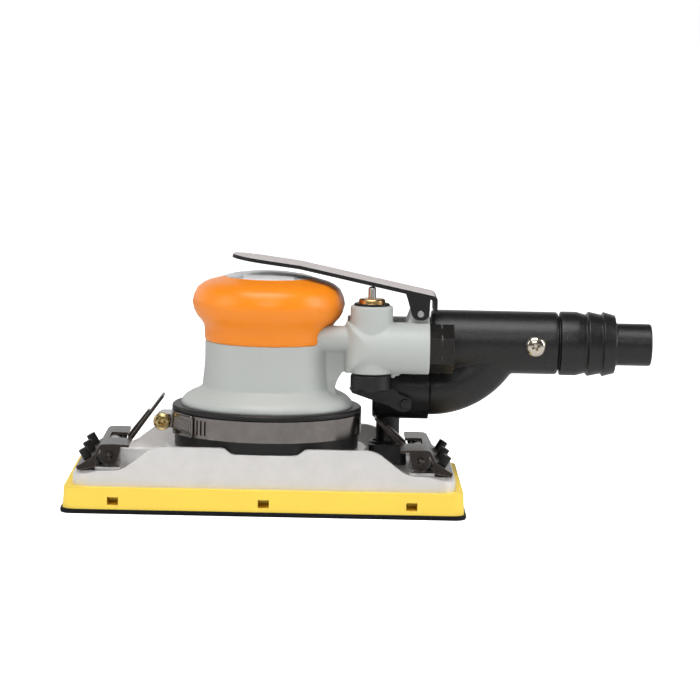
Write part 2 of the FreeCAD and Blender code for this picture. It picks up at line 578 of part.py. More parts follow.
node("regulator_knob", turned("knob", [
    (0, 52.2), (8, 52.2), (8.8, 53), (8.8, 58.9), (8.2, 59.4), (4.5, 59.4), (4.5, 68), (0, 68)], valve_x, inlet_y))

# ---- throttle lever ----
lever_plate = plate_y("lever_plate", [
    (-16.6, 109.3), (13.7, 105.4), (45.6, 98.7), (71.2, 93.3), (73.3, 92.6), (73.4, 86.8), (74.8, 86.8),
    (74.8, 93.2), (73.6, 94.7), (45.9, 100.3), (14, 107), (-16.2, 110.9)], 0, lever_width)
tip_x = lever_width / 2 - 16.6
plan_tip = rod("lever_plan_tip", lever_width / 2, 40, tip_x, 0, 80)
lever_plan = fuse("lever_plan", block("lever_plan_body", tip_x, -1 * lever_width / 2, 80, 90, lever_width, 40),
                  plan_tip)
lever_top = common("lever_top", lever_plate, lever_plan)
ears = [plate_y(f"lever_ear_{i}", [
    (60.2, 96.5), (61.4, 93.5), (63.6, 86), (64.6, 84.6), (66.2, 83.9), (68.6, 83.9), (70.2, 84.6), (71.3, 86),
    (71.6, 94)], ey, lever_sheet) for i, ey in enumerate((lever_width / 2 - lever_sheet / 2,
                                                          -1 * lever_width / 2 + lever_sheet / 2))]
ear_hole = rod("ear_hole", pin_radius + run_gap, 40, pin_x, -20, pin_z, ALONG_Y)
node("throttle_lever", cut("lever", fuse("lever_all", lever_top, *ears), ear_hole))
node("lever_pin", rod("hinge_pin", pin_radius, lever_width + 0.8, pin_x, -1 * lever_width / 2 - 0.4, pin_z, ALONG_Y))

# ---- dust path: pipe, elbow, duct, tube, nozzle ----
node("suction_pipe", turned("pipe", [
    (3.9, 20.5), (suction_radius, 20.5), (suction_radius, 43.5), (3.9, 43.5)], suction_x, exhaust_y))
elbow_blank = turned("elbow_blank", [
    (47.4, 0), (47.4, 12.9), (48.4, 13.9), (72.5, 13.9), (72.5, 0)], 0, exhaust_y, duct_level, "H_Axis")
elbow_room = rod("elbow_room", pipe_radius, 60, 30, exhaust_y, pipe_level, ALONG_X)
cross_room = rod("cross_room", pipe_radius, 40, valve_x, -20, pipe_level, ALONG_Y)
elbow_bore = rod("elbow_bore", duct_bore, 30, 50.5, exhaust_y, duct_level, ALONG_X)
elbow_entry = rod("elbow_entry", suction_radius, 13.5, suction_x, exhaust_y, 30)
arm_hole = rod("arm_hole", 1.2, 12, 61.7, -6, 45, ALONG_Y)
node("suction_elbow", cut("elbow", elbow_blank, elbow_room, cross_room, elbow_bore, elbow_entry,
                          rod("elbow_throat", 3.9, 20, suction_x, exhaust_y, 36), arm_hole))
arm = plate_y("arm", [
    (36.6, 51.8), (38, 49.6), (47, 46.6), (54.5, 44.2), (58.6, 42), (61, 41.4), (63.4, 42), (64.8, 43.8),
    (64.8, 46), (63.8, 47.6), (61.5, 48.6), (58.8, 49.6), (57, 51.8)], 0.25, 7.5)
arm_room = rod("arm_room", 13.9, 60, 30, exhaust_y, duct_level, ALONG_X)
node("mount_arm", cut("arm_cut", arm, arm_room, rod("arm_screw_hole", 1.2, 12, 61.7, -6, 45, ALONG_Y)))
node("arm_screw", fuse("arm_screw_all", rod("arm_head", 2.3, 1.1, 61.7, -4.6, 45, ALONG_Y),
                       rod("arm_shank", 1.2, 9.4, 61.7, -3.5, 45, ALONG_Y)))


def bend(name, radius, angle):
    obj = doc.addObject("Part::Torus", name)
    bind(obj, "Radius1", duct_bend)
    bind(obj, "Radius2", radius)
    obj.Angle3 = angle
    frame = FreeCAD.Rotation(V(0, 0, -1), V(1, 0, 0), V(0, -1, 0), "XYZ")
    return place(obj, 72.5, exhaust_y, duct_level + duct_bend, frame)


tube_level = cell("tube_level", 71.9)
duct_room = rod("duct_room", tube_radius, 60, tube_start - 3, exhaust_y, tube_level, ALONG_X)
node("suction_duct", cut("duct", bend("duct_outer", duct_radius, 60), duct_room, bend("duct_inner", duct_bore, 60)))
tube_blank = turned("tube_blank", [
    (tube_start, tube_bore), (tube_start, tube_radius - 0.6), (tube_start + 0.6, tube_radius),
    (tube_end - 0.8, tube_radius), (tube_end, tube_radius - 0.8), (tube_end, tube_bore)],
    0, exhaust_y, tube_level, "H_Axis")
tube_seat = rod("tube_seat", pipe_radius, 7, tube_start - 1, exhaust_y, pipe_level, ALONG_X)
screw_x = 119.6
tube_screw_hole = rod("tube_screw_hole", 2, 12, screw_x, exhaust_y - 16, tube_level, ALONG_Y)
node("exhaust_tube", cut("tube", tube_blank, bend("duct_opening", duct_bore, 62), tube_seat, tube_screw_hole))
node("jet_nozzle", turned("nozzle", [
    (79.5, 5), (79.5, tube_bore), (81.5, tube_bore), (81.5, 7), (88, 6.6), (95, 4.6), (95, 3.2)],
    0, exhaust_y, tube_level, "H_Axis"))
node("tube_screw", turned("pan_screw", [
    (0, -3.5), (2, -3.5), (2, 0.3), (4.6, 0.3), (4.6, 1.6), (3.6, 2.5), (1.6, 2.9), (0, 3)],
    screw_x, exhaust_y - tube_radius, tube_level))
doc.getObject("pan_screw").Placement.Rotation = FreeCAD.Rotation(V(1, 0, 0), 90)

# ---- hose adapter that swivels in the tube's end ----
sleeve_radius = tube_bore - run_gap
node("hose_adapter", turned("adapter", [
    (114, hose_bore), (114, sleeve_radius), (117, sleeve_radius), (117, 10.1), (122.2, 10.1),
    (122.2, sleeve_radius), (131.3, sleeve_radius), (131.3, 14.4), (138.5, 14.4), (142.9, 13.2), (143.9, 14.6),
    (150, 13.3), (150.6, 14.6), (156.1, 13.1), (156.1, 10.2), (157.4, spigot_radius),
    (spigot_end - 0.6, spigot_radius), (spigot_end, spigot_radius - 0.6), (spigot_end, hose_bore)],
    0, exhaust_y, tube_level, "H_Axis"))
node("adapter_seal", turned("seal", [
    (130.5, sleeve_radius), (130.5, 12.2), (131.3, 12.2), (131.3, sleeve_radius)],
    0, exhaust_y, tube_level, "H_Axis"))

# ---- rubber shroud and its band clamp ----
shroud_foot = rim_z + shroud_gap
node("rubber_shroud", turned("shroud", [
    (38.6, shroud_foot), (skirt_foot_radius, shroud_foot), (skirt_foot_radius, 31.1), (band_radius - band_thick, 31.7),
    (band_radius - band_thick, 41.1), (shroud_radius, 41.4), (shroud_radius, 43), (41.6, 43.6),
    (skirt_radius, 43.6), (skirt_radius, 30), (38.6, 29.6)]))
band_ring = turned("band_ring", [
    (band_radius - band_thick, 31.8), (band_radius, 31.8), (band_radius, 41), (band_radius - band_thick, 41)])
band_slots = []
for i in range(9):
    angle = 206 + 3.2 * i
    slit = block(f"band_slot_{i}", 0, 0, 0, 4, 0.9, 6.4)
    for axis in "xyz":
        slit.setExpression(f"Placement.Base.{axis}", None)
    turn = FreeCAD.Rotation(V(0, 0, 1), angle)
    slit.Placement = FreeCAD.Placement(turn.multVec(V(40, -0.45, 0)) + V(0, 0, 33.2), turn)
    band_slots.append(slit)
node("clamp_band", cut("band", band_ring, *band_slots))
worm_x, worm_z = -46.3, 36
saddle = rod("saddle", 3.1, 15, worm_x, -7.5, worm_z, ALONG_Y)
saddle_foot = block("saddle_foot", worm_x, -7.5, worm_z - 3.1, 6, 15, 6.2)
saddle_room = rod("saddle_room", band_radius, 30, 0, 0, 25)
worm_hole = rod("worm_hole", 2.4, 30, worm_x, -15, worm_z, ALONG_Y)
node("clamp_saddle", cut("saddle_cut", fuse("saddle_all", saddle, saddle_foot), saddle_room, worm_hole))
worm_shank = rod("worm_shank", 2.4, 17, worm_x, -8.5, worm_z, ALONG_Y)
worm_head = rod("worm_head", 4, 3, worm_x, -11.5, worm_z, ALONG_Y)
slot_a = block("worm_slot_a", worm_x - 2.7, -12.5, worm_z - 0.65, 5.4, 2.6, 1.3)
slot_b = block("worm_slot_b", worm_x - 0.65, -12.5, worm_z - 2.7, 1.3, 2.6, 5.4)
worm_room = rod("worm_room", band_radius, 30, 0, 0, 25)
node("clamp_screw", cut("worm", fuse("worm_all", worm_shank, worm_head), slot_a, slot_b, worm_room))

# ---- check every object, then write one STEP file per named piece ----
doc.recompute()
faults = []
for obj in doc.Objects:
    if {"Invalid", "Error"} & set(obj.State):
        faults.append(f"{obj.Name}: {obj.State}")
for obj in nodes:
    if obj.Shape.isNull() or not obj.Shape.isValid() or not obj.Shape.Solids:
        faults.append(f"{obj.Label}: bad shape")
if faults:
    raise SystemExit("\n".join(faults))

os.makedirs("parts", exist_ok=True)
for obj in nodes:
    obj.Shape.exportStep(f"parts/{obj.Label}.step")
    box = obj.Shape.BoundBox
    print(f"{obj.Label:22s} {len(obj.Shape.Solids)} {obj.Shape.Volume:10.1f}"
          f" x {box.XMin:7.2f} {box.XMax:7.2f} y {box.YMin:7.2f} {box.YMax:7.2f} z {box.ZMin:7.2f} {box.ZMax:7.2f}")
print(len(nodes), "pieces")
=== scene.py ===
import math
import random
import bmesh
import bpy
from mathutils import Matrix, Vector


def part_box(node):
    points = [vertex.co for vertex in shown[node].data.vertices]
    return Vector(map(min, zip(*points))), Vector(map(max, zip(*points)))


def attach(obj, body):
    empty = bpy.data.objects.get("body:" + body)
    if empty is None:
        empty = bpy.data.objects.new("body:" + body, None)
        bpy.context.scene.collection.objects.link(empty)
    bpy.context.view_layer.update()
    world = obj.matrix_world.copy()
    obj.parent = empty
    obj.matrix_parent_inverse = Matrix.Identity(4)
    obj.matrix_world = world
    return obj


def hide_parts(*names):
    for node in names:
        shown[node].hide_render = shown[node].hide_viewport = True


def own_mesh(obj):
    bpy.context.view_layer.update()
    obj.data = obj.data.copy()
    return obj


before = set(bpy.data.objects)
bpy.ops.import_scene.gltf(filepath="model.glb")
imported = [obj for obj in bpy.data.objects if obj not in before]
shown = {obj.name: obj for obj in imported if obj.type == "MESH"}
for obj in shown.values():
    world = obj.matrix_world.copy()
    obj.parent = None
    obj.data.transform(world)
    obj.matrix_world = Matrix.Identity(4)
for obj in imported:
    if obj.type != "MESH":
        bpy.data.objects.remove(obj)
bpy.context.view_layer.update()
mm = 0.001

# ---------------------------------------------------------------------------------------------
# Studio. The sander stands on its own pad on a pale table, lit by four soft boxes and a white
# room, and is looked at from the side with a long lens, slightly from above.
# ---------------------------------------------------------------------------------------------
look_at = Vector((36.65, 0.0, 68.5)) * mm
view_turn, view_rise, view_roll = math.radians(-0.616), math.radians(6.694), math.radians(1.257)
view_distance = 1316.4 * mm
back = Vector((math.sin(view_turn) * math.cos(view_rise), -math.cos(view_turn) * math.cos(view_rise),
               math.sin(view_rise)))
level = Vector((math.cos(view_turn), math.sin(view_turn), 0))
upright = back.cross(level)
right = level * math.cos(view_roll) + upright * math.sin(view_roll)
up = upright * math.cos(view_roll) - level * math.sin(view_roll)
camera = bpy.data.objects.new("studio_camera", bpy.data.cameras.new("long_lens"))
camera.data.sensor_width = 36
camera.data.lens = 151.5
camera.data.clip_start = 0.05
camera.data.clip_end = 20
stand = Matrix((right, up, back)).transposed().to_4x4()
stand.translation = look_at + back * view_distance
camera.matrix_world = stand
bpy.context.collection.objects.link(camera)
bpy.context.scene.camera = camera

room = bpy.data.worlds.new("white_room")
room.use_nodes = True
walls = room.node_tree
toward = walls.nodes.new("ShaderNodeTexCoord")
parts_of = walls.nodes.new("ShaderNodeSeparateXYZ")
walls.links.new(toward.outputs["Generated"], parts_of.inputs["Vector"])
walls.nodes["Background"].inputs["Color"].default_value = (1.0, 1.0, 1.0, 1)
back_wall = walls.nodes.new("ShaderNodeMapRange")
back_wall.interpolation_type = "SMOOTHSTEP"
back_wall.inputs["From Min"].default_value = -0.1
back_wall.inputs["From Max"].default_value = 0.7
walls.links.new(parts_of.outputs["Y"], back_wall.inputs["Value"])
low_down = walls.nodes.new("ShaderNodeMapRange")
low_down.interpolation_type = "SMOOTHSTEP"
low_down.inputs["From Min"].default_value = 0.75
low_down.inputs["From Max"].default_value = 0.25
walls.links.new(parts_of.outputs["Z"], low_down.inputs["Value"])
bright_wall = walls.nodes.new("ShaderNodeMath")
bright_wall.operation = "MULTIPLY"
walls.links.new(back_wall.outputs["Result"], bright_wall.inputs[0])
walls.links.new(low_down.outputs["Result"], bright_wall.inputs[1])
wall_light = walls.nodes.new("ShaderNodeMapRange")
wall_light.inputs["To Min"].default_value = 0.05
wall_light.inputs["To Max"].default_value = 0.9
walls.links.new(bright_wall.outputs[0], wall_light.inputs["Value"])
lit_by = walls.nodes.new("ShaderNodeLightPath")
seen = walls.nodes.new("ShaderNodeMix")
seen.inputs["B"].default_value = 1.0
walls.links.new(lit_by.outputs["Is Camera Ray"], seen.inputs["Factor"])
walls.links.new(wall_light.outputs["Result"], seen.inputs["A"])
walls.links.new(seen.outputs["Result"], walls.nodes["Background"].inputs["Strength"])
bpy.context.scene.world = room
bpy.context.scene.view_settings.view_transform = "Standard"


def soft_box(name, spot, aim, width, height, watts):
    lamp = bpy.data.lights.new(name, "AREA")
    lamp.shape = "RECTANGLE"
    lamp.size = width
    lamp.size_y = height
    lamp.energy = watts
    holder = bpy.data.objects.new(name, lamp)
    holder.location = spot
    holder.rotation_euler = (Vector(aim) - Vector(spot)).to_track_quat("-Z", "Y").to_euler()
    bpy.context.collection.objects.link(holder)
    return holder


soft_box("top_box", (-0.05, -0.35, 0.95), (0.03, 0, 0.06), 0.8, 0.6, 7.2)
soft_box("left_box", (-0.95, -0.35, 0.45), (0.0, 0, 0.06), 0.5, 0.7, 2.4)
soft_box("right_box", (1.0, -0.2, 0.45), (0.05, 0, 0.06), 0.4, 0.7, 4.0)
soft_box("front_box", (-0.02, -1.15, 0.62), (0.03, 0, 0.08), 0.5, 0.28, 2.2)

table = bpy.data.meshes.new("pale_table")
table_half_width = 40
sheet = bmesh.new()
bmesh.ops.create_grid(sheet, x_segments=8, y_segments=8, size=table_half_width)
sheet.to_mesh(table)
sheet.free()
table_top = bpy.data.objects.new("pale_table", table)
bpy.context.collection.objects.link(table_top)
pale = bpy.data.materials.new("pale_paper")
pale.use_nodes = True
paper = pale.node_tree
paper.nodes["Principled BSDF"].inputs["Base Color"].default_value = (0.72, 0.72, 0.72, 1)
paper.nodes["Principled BSDF"].inputs["Roughness"].default_value = 0.9
paper.nodes["Principled BSDF"].inputs["Emission Color"].default_value = (1, 1, 1, 1)
table_seen = paper.nodes.new("ShaderNodeLightPath")
bounced = paper.nodes.new("ShaderNodeMapRange")
bounced.inputs["To Min"].default_value = 0.04
bounced.inputs["To Max"].default_value = 0.46
paper.links.new(table_seen.outputs["Is Diffuse Ray"], bounced.inputs["Value"])
glow = paper.nodes.new("ShaderNodeMix")
glow.inputs["B"].default_value = 0.98
paper.links.new(table_seen.outputs["Is Camera Ray"], glow.inputs["Factor"])
paper.links.new(bounced.outputs["Result"], glow.inputs["A"])
paper.links.new(glow.outputs["Result"], paper.nodes["Principled BSDF"].inputs["Emission Strength"])
table.materials.append(pale)

# ---------------------------------------------------------------------------------------------
# Hook layer under the pad. Black woven nylon with stiff hooks that holds the abrasive sheet; its
# cut edge is fuzzy and stands out a little past the foam. It is bonded to the foam.
# ---------------------------------------------------------------------------------------------


def grain_group():
    """Fine and broad unevenness: a value around 0.5 for colour and a height for bump."""
    group = bpy.data.node_groups.new("fine_grain", "ShaderNodeTree")
    for label, way in (("Grain size", "INPUT"), ("Cloud size", "INPUT"), ("Grain", "OUTPUT"), ("Cloud", "OUTPUT")):
        group.interface.new_socket(name=label, in_out=way, socket_type="NodeSocketFloat")
    n, wire = group.nodes, group.links.new
    given, given_out = n.new("NodeGroupInput"), n.new("NodeGroupOutput")
    where = n.new("ShaderNodeTexCoord")
    for size, out, detail in (("Grain size", "Grain", 3.0), ("Cloud size", "Cloud", 5.0)):
        per_metre = n.new("ShaderNodeMath")
        per_metre.operation = "DIVIDE"
        per_metre.inputs[0].default_value = 1.0
        noise = n.new("ShaderNodeTexNoise")
        noise.inputs["Detail"].default_value = detail
        noise.inputs["Roughness"].default_value = 0.62
        wire(given.outputs[size], per_metre.inputs[1])
        wire(per_metre.outputs[0], noise.inputs["Scale"])
        wire(where.outputs["Object"], noise.inputs["Vector"])
        wire(noise.outputs["Fac"], given_out.inputs[out])
    return group


def edge_group():
    """A mask that is 1 on outside edges and corners, broken up by noise, as paint or oxide wears."""
    group = bpy.data.node_groups.new("edge_wear", "ShaderNodeTree")
    for label, way in (("Width", "INPUT"), ("Break up", "INPUT"), ("Wear", "OUTPUT")):
        group.interface.new_socket(name=label, in_out=way, socket_type="NodeSocketFloat")
    n, wire = group.nodes, group.links.new
    given, given_out = n.new("NodeGroupInput"), n.new("NodeGroupOutput")
    rounded = n.new("ShaderNodeBevel")
    rounded.samples = 4
    flat = n.new("ShaderNodeNewGeometry")
    dot = n.new("ShaderNodeVectorMath")
    dot.operation = "DOT_PRODUCT"
    wire(given.outputs["Width"], rounded.inputs["Radius"])
    wire(rounded.outputs["Normal"], dot.inputs[0])
    wire(flat.outputs["Normal"], dot.inputs[1])
    where = n.new("ShaderNodeTexCoord")
    noise = n.new("ShaderNodeTexNoise")
    noise.inputs["Scale"].default_value = 700
    noise.inputs["Detail"].default_value = 4
    wire(where.outputs["Object"], noise.inputs["Vector"])
    spread = n.new("ShaderNodeMath")
    spread.operation = "MULTIPLY"
    wire(noise.outputs["Fac"], spread.inputs[0])
    wire(given.outputs["Break up"], spread.inputs[1])
    lowered = n.new("ShaderNodeMath")
    lowered.operation = "ADD"
    wire(dot.outputs["Value"], lowered.inputs[0])
    wire(spread.outputs[0], lowered.inputs[1])
    ramp = n.new("ShaderNodeMapRange")
    ramp.inputs["From Min"].default_value = 0.985
    ramp.inputs["From Max"].default_value = 0.90
    wire(lowered.outputs[0], ramp.inputs["Value"])
    wire(ramp.outputs["Result"], given_out.inputs["Wear"])
    return group


fine_grain = grain_group()
edge_wear = edge_group()


def finish_of(name, colour, rough, metal=0.0, grain=0.3, grain_depth=0.02, cloud=20.0, tint=0.08, rough_swing=0.1,
              worn=None, worn_width=0.35, worn_metal=1.0, worn_rough=0.35, coat=0.0, sheen=0.0, speck=None,
              gloss=0.5):
    """A surface: base colour with cloudy tint, grain in its roughness and bump, and optional worn edges."""
    made = bpy.data.materials.new(name)
    made.use_nodes = True
    n, wire = made.node_tree.nodes, made.node_tree.links.new
    skin = n["Principled BSDF"]
    skin.inputs["Metallic"].default_value = metal
    skin.inputs["Coat Weight"].default_value = coat
    skin.inputs["Coat Roughness"].default_value = 0.25
    skin.inputs["Sheen Weight"].default_value = sheen
    skin.inputs["Sheen Roughness"].default_value = 0.5
    skin.inputs["Specular IOR Level"].default_value = gloss
    uneven = n.new("ShaderNodeGroup")
    uneven.node_tree = fine_grain
    uneven.inputs["Grain size"].default_value = grain * mm
    uneven.inputs["Cloud size"].default_value = cloud * mm
    shade = n.new("ShaderNodeMix")
    shade.data_type = "RGBA"
    shade.inputs["A"].default_value = (*[c * (1 - tint) for c in colour], 1)
    shade.inputs["B"].default_value = (*[min(1, c * (1 + tint)) for c in colour], 1)
    wire(uneven.outputs["Cloud"], shade.inputs["Factor"])
    top_colour = shade.outputs["Result"]
    if speck:
        dots = n.new("ShaderNodeMapRange")
        dots.inputs["From Min"].default_value = 0.56
        dots.inputs["From Max"].default_value = 0.66
        dots.inputs["To Max"].default_value = speck[1]
        wire(uneven.outputs["Grain"], dots.inputs["Value"])
        mixed = n.new("ShaderNodeMix")
        mixed.data_type = "RGBA"
        mixed.inputs["B"].default_value = (*speck[0], 1)
        wire(dots.outputs["Result"], mixed.inputs["Factor"])
        wire(top_colour, mixed.inputs["A"])
        top_colour = mixed.outputs["Result"]
    dull = n.new("ShaderNodeMapRange")
    dull.inputs["From Min"].default_value = 0.3
    dull.inputs["From Max"].default_value = 0.7
    dull.inputs["To Min"].default_value = max(0.03, rough - rough_swing)
    dull.inputs["To Max"].default_value = min(1.0, rough + rough_swing)
    wire(uneven.outputs["Grain"], dull.inputs["Value"])
    top_rough = dull.outputs["Result"]
    if worn:
        edges = n.new("ShaderNodeGroup")
        edges.node_tree = edge_wear
        edges.inputs["Width"].default_value = worn_width * mm
        edges.inputs["Break up"].default_value = 0.05
        bare = n.new("ShaderNodeMix")
        bare.data_type = "RGBA"
        bare.inputs["B"].default_value = (*worn, 1)
        wire(edges.outputs["Wear"], bare.inputs["Factor"])
        wire(top_colour, bare.inputs["A"])
        top_colour = bare.outputs["Result"]
        for start, stop, socket in ((metal, worn_metal, "Metallic"), (None, worn_rough, "Roughness")):
            swap = n.new("ShaderNodeMix")
            swap.inputs["B"].default_value = stop
            wire(edges.outputs["Wear"], swap.inputs["Factor"])
            if start is None:
                wire(top_rough, swap.inputs["A"])
                top_rough = swap.outputs["Result"]
            else:
                swap.inputs["A"].default_value = start
                wire(swap.outputs["Result"], skin.inputs[socket])
    wire(top_colour, skin.inputs["Base Color"])
    wire(top_rough, skin.inputs["Roughness"])
    bump = n.new("ShaderNodeBump")
    bump.inputs["Strength"].default_value = 1.0
    bump.inputs["Distance"].default_value = grain_depth * mm
    wire(uneven.outputs["Grain"], bump.inputs["Height"])
    wire(bump.outputs["Normal"], skin.inputs["Normal"])
    return made


def dress(material, *names, round_over=0.3, steps=2, angle=32):
    """Gives CAD nodes their finish, soft shading and small rounded edges."""
    for name in names:
        piece = shown[name]
        piece.data.materials.clear()
        piece.data.materials.append(material)
        for face in piece.data.polygons:
            face.use_smooth = True
        weld = piece.modifiers.new("weld", "WELD")
        weld.merge_threshold = 0.004 * mm
        clean = piece.modifiers.new("clean", "DECIMATE")
        clean.decimate_type = "DISSOLVE"
        clean.angle_limit = math.radians(0.6)
        if round_over:
            edge = piece.modifiers.new("round_edges", "BEVEL")
            edge.width = round_over * mm
            edge.segments = steps
            edge.limit_method = "ANGLE"
            edge.angle_limit = math.radians(angle)
            edge.use_clamp_overlap = True
            edge.miter_outer = "MITER_ARC"
            edge.harden_normals = False
        weight = piece.modifiers.new("even_shading", "WEIGHTED_NORMAL")
        weight.weight = 60
        weight.keep_sharp = False


hook_nylon = finish_of("hook_nylon", (0.010, 0.010, 0.013), 0.8, grain=0.5, grain_depth=0.3, tint=0.3, gloss=0.25)
dress(hook_nylon, "hook_layer", round_over=0.4)


def placed(name, mesh, material, body, smooth=True):
    """Puts a finished mesh in the scene as a piece that rides on a body."""
    for face in mesh.polygons:
        face.use_smooth = smooth
    mesh.materials.clear()
    mesh.materials.append(material)
    piece = bpy.data.objects.new(name, mesh)
    bpy.context.collection.objects.link(piece)
    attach(piece, body)
    return piece


def hook_fringe(name, tuft_gap, longest, seed):
    """Loose hooks that stick out all round the cut edge of the nylon."""
    low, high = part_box("hook_layer")
    draw = random.Random(seed)
    root_inset = 0.05 * mm
    corner = 5 * mm
    half_x = (high[0] - low[0]) / 2 - root_inset
    half_y = (high[1] - low[1]) / 2 - root_inset
    middle = Vector(((low[0] + high[0]) / 2, (low[1] + high[1]) / 2, 0))
    rim = []
    for sx, sy, start in ((1, 1, 0), (-1, 1, 90), (-1, -1, 180), (1, -1, 270)):
        for turn in range(0, 91, 10):
            a = math.radians(start + turn)
            rim.append(Vector((sx * (half_x - corner) + corner * math.cos(a),
                               sy * (half_y - corner) + corner * math.sin(a), 0)))
    tufts = bmesh.new()
    for here, there in zip(rim, rim[1:] + rim[:1]):
        run = there - here
        out = Vector((run.y, -run.x, 0)).normalized()
        for step in range(max(1, int(run.length / (tuft_gap * mm)))):
            for row in (0.25, 0.5, 0.75):
                at = middle + here + run * ((step + draw.random()) * tuft_gap * mm / run.length)
                at.z = low[2] + (high[2] - low[2]) * (row + draw.uniform(-0.12, 0.12))
                side = run.normalized() * draw.uniform(0.12, 0.26) * mm
                reach = out * draw.uniform(0.2, longest) * mm
                droop = Vector((0, 0, draw.uniform(-0.25, 0.2) * mm))
                lean = side * draw.uniform(-2, 2)
                tip = at + reach + droop + lean
                tip.z = max(tip.z, low[2] + 0.1 * mm)
                rise = Vector((0, 0, 0.2 * mm))
                ring = [tufts.verts.new(p) for p in (at - side - rise * 0.5, at + side - rise * 0.5, at + rise)]
                point = tufts.verts.new(tip)
                for a, b in ((0, 1), (1, 2), (2, 0)):
                    tufts.faces.new((ring[a], ring[b], point))
                tufts.faces.new((ring[2], ring[1], ring[0]))
    bmesh.ops.recalc_face_normals(tufts, faces=tufts.faces)
    mesh = bpy.data.meshes.new(name)
    tufts.to_mesh(mesh)
    tufts.free()
    return mesh


placed("hook_fringe", hook_fringe("hook_fringe", tuft_gap=0.5, longest=0.75, seed=5), hook_nylon, "pad",
       smooth=False)

# ---------------------------------------------------------------------------------------------
# Foam pad. Cast yellow polyurethane with a skin, square air channels in its long sides and round
# dust holes from below. It is bonded to the plate.
# ---------------------------------------------------------------------------------------------
yellow_foam = finish_of("yellow_foam", (0.97, 0.69, 0.085), 0.62, grain=0.35, grain_depth=0.05, cloud=14, tint=0.05)
dress(yellow_foam, "pad_foam", round_over=0.6)

# ---------------------------------------------------------------------------------------------
# Backing plate. Die-cast aluminium tray, bead-blasted, with tall sides. The clip brackets are cast
# from the same metal and riveted to its floor.
# ---------------------------------------------------------------------------------------------
cast_aluminium = finish_of("cast_aluminium", (0.86, 0.845, 0.835), 0.42, metal=0.65, grain=0.30, grain_depth=0.035,
                           cloud=9, tint=0.10, rough_swing=0.10, worn=(0.93, 0.92, 0.91), worn_width=0.5)
dress(cast_aluminium, "backing_plate", round_over=1.1, steps=4, angle=25)
dress(cast_aluminium, "left_clip_bracket", "right_clip_bracket", round_over=0.5)
bright_steel = finish_of("bright_steel", (0.62, 0.61, 0.60), 0.28, metal=1.0, grain=0.2, grain_depth=0.006, cloud=8)
dress(bright_steel, "left_bracket_rivets", "right_bracket_rivets", "pad_spindle", "plate_screw", round_over=0.2)

# ---------------------------------------------------------------------------------------------
# Paper clips. Pressed spring steel, oil-blackened, with bright worn edges; rubber-tipped studs and
# a wound spring push the jaw onto the paper, and the tongue lifts it.
# ---------------------------------------------------------------------------------------------
blackened_steel = finish_of("blackened_steel", (0.052, 0.044, 0.039), 0.33, metal=0.85, grain=0.4, grain_depth=0.015,
                            cloud=5, tint=0.35, worn=(0.40, 0.34, 0.30), worn_width=0.35, worn_rough=0.3)
dress(blackened_steel, "left_clip_jaw", "right_clip_jaw", round_over=0.28)
dress(blackened_steel, "left_clip_pin", "right_clip_pin", "left_clip_spring", "right_clip_spring", round_over=0)
black_rubber = finish_of("black_rubber", (0.009, 0.0085, 0.0082), 0.42, grain=0.3, grain_depth=0.02, cloud=10,
                         tint=0.2, gloss=0.4)
dress(black_rubber, "left_jaw_studs", "right_jaw_studs", round_over=0.35)

# ---------------------------------------------------------------------------------------------
# Dust socket and suction pipe. A rubber-lined moulded socket on the plate and a soft pipe that
# reaches into it, so the pad can orbit under the still housing.
# ---------------------------------------------------------------------------------------------
black_moulding = finish_of("black_moulding", (0.010, 0.0096, 0.0098), 0.34, grain=0.42, grain_depth=0.075, cloud=18,
                           tint=0.15, rough_swing=0.12, gloss=0.5)
dress(black_moulding, "suction_boss", "suction_pipe", round_over=0.4)

# ---------------------------------------------------------------------------------------------
# Motor housing. One aluminium casting with a fine textured grey-green coat: bell, valve tower,
# inlet pipe, exhaust pipe and the lug that carries the lever.
# ---------------------------------------------------------------------------------------------
housing_coat = finish_of("housing_coat", (0.49, 0.515, 0.495), 0.42, grain=0.35, grain_depth=0.022, cloud=25,
                         tint=0.03, speck=((0.34, 0.36, 0.35), 0.22))


def cast_skin(name, nodes, voxel, rounds, material, body):
    """One casting made from the parts' own solids, its corners and inner angles blended as in a mould."""
    joined = bmesh.new()
    for label in nodes:
        joined.from_mesh(shown[label].data)
    raw = bpy.data.meshes.new(name + "_raw")
    joined.to_mesh(raw)
    joined.free()
    helper = bpy.data.objects.new(name + "_raw", raw)
    bpy.context.collection.objects.link(helper)
    grid = helper.modifiers.new("skin", "REMESH")
    grid.mode = "VOXEL"
    grid.voxel_size = voxel * mm
    soften = helper.modifiers.new("soften", "SMOOTH")
    soften.factor = 0.5
    soften.iterations = rounds
    bpy.context.view_layer.update()
    smooth = bpy.data.meshes.new_from_object(helper.evaluated_get(bpy.context.evaluated_depsgraph_get()))
    bpy.data.objects.remove(helper)
    smooth.name = name
    piece = placed(name, smooth, material, body)
    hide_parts(*nodes)
    return piece


cast_skin("motor_housing_casting", ["motor_housing"], voxel=0.45, rounds=3, material=housing_coat, body="housing")

